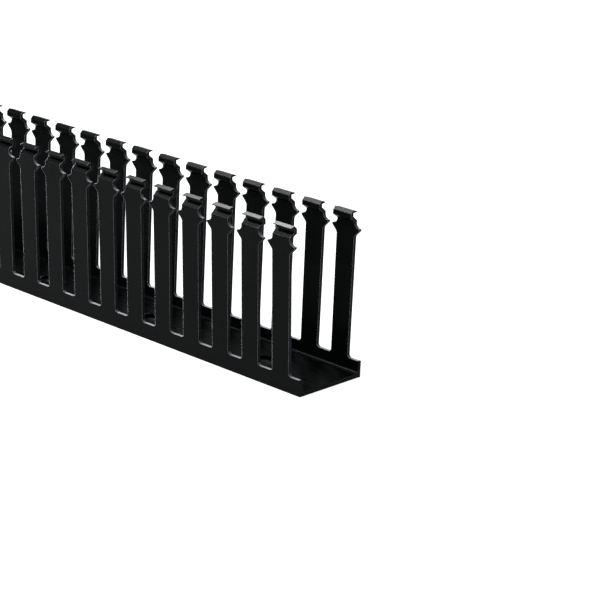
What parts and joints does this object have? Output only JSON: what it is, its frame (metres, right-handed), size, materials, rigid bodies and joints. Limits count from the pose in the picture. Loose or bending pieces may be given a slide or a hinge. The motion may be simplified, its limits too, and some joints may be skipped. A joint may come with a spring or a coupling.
{
  "type": "slotted wire duct",
  "caption": "Open-top U-channel of black rigid PVC with slotted side walls, barbed fingers and bent lips for a cover; base slotted for screws.",
  "frame": {"origin": "middle of the underside of the base, halfway along the stock", "axes": "+X along the stock, +Z from the base to the open side, +Y across"},
  "size_m": [1, 0.0274, 0.0496],
  "materials": {
    "pvc": "extruded black PVC, low sheen"
  },
  "bodies": {
    "root": {"duct_channel": "pvc"}
  },
  "joints": []
}
